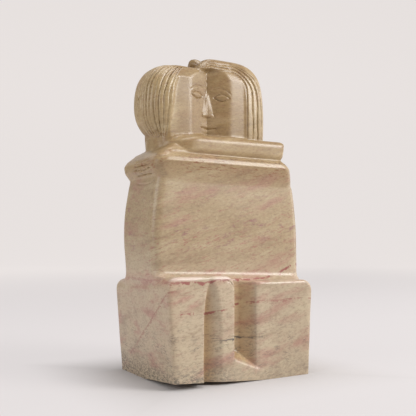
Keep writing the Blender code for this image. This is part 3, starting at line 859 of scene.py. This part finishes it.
# Old wax has yellowed the stone, most on the heads. The grooves between the legs are darkened
# and browned with painted shade, and a pale painted highlight runs along the front rim of the knees.
on_legs = 1 - height.ramp(76.0, 86.0)
# Painted shade: this mask darkens the stone that lies deeper than the front and back faces between the legs.
groove_painted_shade = (LEGS_DEPTH - abs(north)).ramp(1.5, 7.0) * east.ramp(-41.0, -38.0) * (1 - east.ramp(9.0, 14.0))
groove_painted_shade = groove_painted_shade * on_legs
in_gap = east.ramp(-8.0, -2.0)
on_right_shin = east.ramp(14.0, 34.0) * on_legs * (1 - (abs(east) - 62.0).ramp(0.0, 6.0))
beside_faces = Wire.math("MAXIMUM", 1 - east.ramp(-52.0, -44.0), east.ramp(21.0, 27.0))
in_hair = beside_faces * height.ramp(203.0, 209.0)
wax_tone_and_groove_shade = tint((1.0, 0.96, 0.92, 1.0), (0.85, 0.79, 0.71, 1.0), height.ramp(76.0, 110.0))
wax_tone_and_groove_shade = tint(wax_tone_and_groove_shade, (0.78, 0.665, 0.50, 1.0), height.ramp(158.0, 188.0))
wax_tone_and_groove_shade = tint(wax_tone_and_groove_shade, (0.70, 0.57, 0.41, 1.0), height.ramp(200.0, 206.0))
wax_tone_and_groove_shade = tint(wax_tone_and_groove_shade, (0.90, 0.81, 0.68, 1.0), in_hair)
wax_tone_and_groove_shade = tint(wax_tone_and_groove_shade, (0.87, 0.82, 0.77, 1.0), on_right_shin)
wax_tone_and_groove_shade = tint(wax_tone_and_groove_shade, (0.92, 0.85, 0.79, 1.0), on_left_end * on_legs)
# Painted shade: brown and dark in the pointed groove, lighter in the gap between the figures.
wax_tone_and_groove_shade = tint(wax_tone_and_groove_shade, (0.93, 0.77, 0.58, 1.0), groove_painted_shade * (1 - in_gap))
wax_tone_and_groove_shade = tint(wax_tone_and_groove_shade, (1.0, 0.87, 0.68, 1.0), groove_painted_shade * in_gap)
wax_and_shade_mix = Wire.node("Mix", {"data_type": "RGBA", "blend_type": "MULTIPLY"}, {0: 1.0, 6: ground, 7: wax_tone_and_groove_shade})
ground = Wire(wax_and_shade_mix.outputs[2])
# Painted highlight: a pale band along the front rim of the knees.
painted_rim_highlight = height.near(85.5, 3.0) * (1 - north.ramp(-50.0, -46.0)) * bed_clouds.ramp(0.30, 0.55)
ground = tint(ground, (0.72, 0.62, 0.55, 1.0), painted_rim_highlight * 0.55)

# Dirt has settled in the rough skin just above the table, thickest at the front left corner.
low = 1 - height.ramp(2.0, 26.0)
corner_dirt = 0.30 + 0.70 * (1 - east.ramp(-60.0, 10.0))
dirt = cloud(0.0, (3.0, 3.0, 1.5), 5.0, 0.75).ramp(0.47, 0.56) * low * corner_dirt
ground = tint(ground, (0.10, 0.092, 0.085, 1.0), dirt * 0.8)

# The surface is rubbed with fine files, then waxed: a soft sheen with tiny scratches in it.
scratches = cloud(2.0, (9.0, 9.0, 0.35), 2.0, 0.6)
ground = tint(ground, (0.20, 0.14, 0.10, 1.0), scratches.ramp(0.52, 0.70) * 0.20)
rough_skin = cloud(0.0, (1.6, 1.6, 1.6), 4.0, 0.6)
relief = scratches * 0.30 + rough_skin * 0.35 - dirt * 0.5 - pits * height.near(177.0, 13.0) * 0.6
bump = Wire.node("Bump", {}, {"Strength": 0.55, "Distance": 0.22 * MM, "Height": relief})
sheen = 0.36 + 0.16 * bed_clouds + 0.25 * dirt
shader = stone_look.node_tree.nodes["Principled BSDF"]
for name, wire in (("Base Color", ground), ("Roughness", sheen), ("Normal", Wire(bump.outputs[0]))):
    stone_look.node_tree.links.new(wire.socket, shader.inputs[name])
shader.inputs["Coat Weight"].default_value = 0.30
shader.inputs["Coat Roughness"].default_value = 0.20

# The studio. A wide sheet of white paper sweeps up far behind the carving. It glows by itself but for
# the place where the carving stands, so that only a shadow close to the foot shows on it. Large soft
# lamps stand at the front right, at the left, at the right end and overhead.
PAPER_HALF = 3.2
PAPER_BACK = 2.6
PAPER_BEND = 1.2
LAMPS_AIM = Vector((0.0, 0.0, 0.13))


def add_paper():
    """A sheet that is flat under the carving, then rises in a quarter round to a wall."""
    bpy.ops.object.select_all(action="DESELECT")
    bpy.ops.mesh.primitive_plane_add(size=2 * PAPER_HALF, location=(0.0, PAPER_BACK - PAPER_HALF, 0.0))
    bpy.ops.object.transform_apply(location=True, rotation=False, scale=False)
    bpy.ops.object.mode_set(mode="EDIT")
    pick("EDGE", lambda a, b: min(a.y, b.y) * MM > PAPER_BACK - 0.1)
    turns = 16
    step = PAPER_BEND * math.pi / 2 / turns
    for turn in range(turns):
        rise = (turn + 0.5) * math.pi / 2 / turns
        bpy.ops.mesh.extrude_region_move()
        bpy.ops.transform.translate(value=(0.0, step * math.cos(rise), step * math.sin(rise)))
    bpy.ops.mesh.extrude_region_move()
    bpy.ops.transform.translate(value=(0.0, 0.0, PAPER_HALF))
    bpy.ops.object.mode_set(mode="OBJECT")
    paper = bpy.context.object
    paper.name = "paper"
    paper.location.z = -0.05 * MM
    paper.rotation_euler.z = VIEW_TURN
    bpy.ops.object.transform_apply(location=True, rotation=True, scale=True)
    paper.data.shade_smooth()
    return paper


paper = add_paper()
paper_look = bpy.data.materials.new("white_paper")
paper_look.use_nodes = True
paper_shader = paper_look.node_tree.nodes["Principled BSDF"]
Wire.tree = paper_look.node_tree
spot = Wire.node("SeparateXYZ", {}, {"Vector": millimetres(0.0, (1.0, 1.0, 1.0))})
spot_x, spot_y = Wire(spot.outputs[0]), Wire(spot.outputs[1])
clear = Wire.math("MAXIMUM", abs(spot_x) - 72.0, abs(spot_y) - 52.0).ramp(-10.0, 75.0)
paper_colour = tint((0.53, 0.51, 0.51, 1.0), (0.18, 0.173, 0.173, 1.0), clear)
Wire.tree.links.new(paper_colour.socket, paper_shader.inputs["Base Color"])
far = Wire.math("MAXIMUM", abs(spot_x), abs(spot_y)).ramp(500.0, 2400.0)
glow = tint((0.0, 0.0, 0.0, 1.0), (0.56, 0.53, 0.53, 1.0), clear)
glow = tint(glow, (0.71, 0.67, 0.655, 1.0), far)
Wire.tree.links.new(glow.socket, paper_shader.inputs["Emission Color"])
paper_shader.inputs["Emission Strength"].default_value = 1.0
paper_shader.inputs["Roughness"].default_value = 0.95
paper_shader.inputs["Specular IOR Level"].default_value = 0.05
paper.data.materials.append(paper_look)

room = bpy.data.worlds.new("room")
bpy.context.scene.world = room
room.use_nodes = True
room.node_tree.nodes["Background"].inputs["Color"].default_value = (1.0, 0.985, 0.975, 1.0)
room.node_tree.nodes["Background"].inputs["Strength"].default_value = 0.28


def add_lamp(name, place, size, power, colour):
    """A soft round lamp that shines at the middle of the carving."""
    lamp = bpy.data.objects.new(name, bpy.data.lights.new(name, "AREA"))
    bpy.context.scene.collection.objects.link(lamp)
    lamp.data.shape = "DISK"
    lamp.data.size = size
    lamp.data.energy = power
    lamp.data.color = colour
    lamp.location = place
    lamp.rotation_euler = (LAMPS_AIM - lamp.location).to_track_quat("-Z", "Y").to_euler()


add_lamp("key", (1.10, -1.25, 1.00), 0.9, 30.0, (1.0, 0.985, 0.96))
add_lamp("left_fill", (-1.30, -0.05, 0.60), 1.1, 8.0, (1.0, 0.985, 0.97))
add_lamp("overhead", (0.05, -0.10, 1.70), 1.0, 12.0, (1.0, 0.99, 0.98))
add_lamp("right_end", (1.15, -0.15, 0.45), 0.8, 3.0, (1.0, 0.99, 0.98))
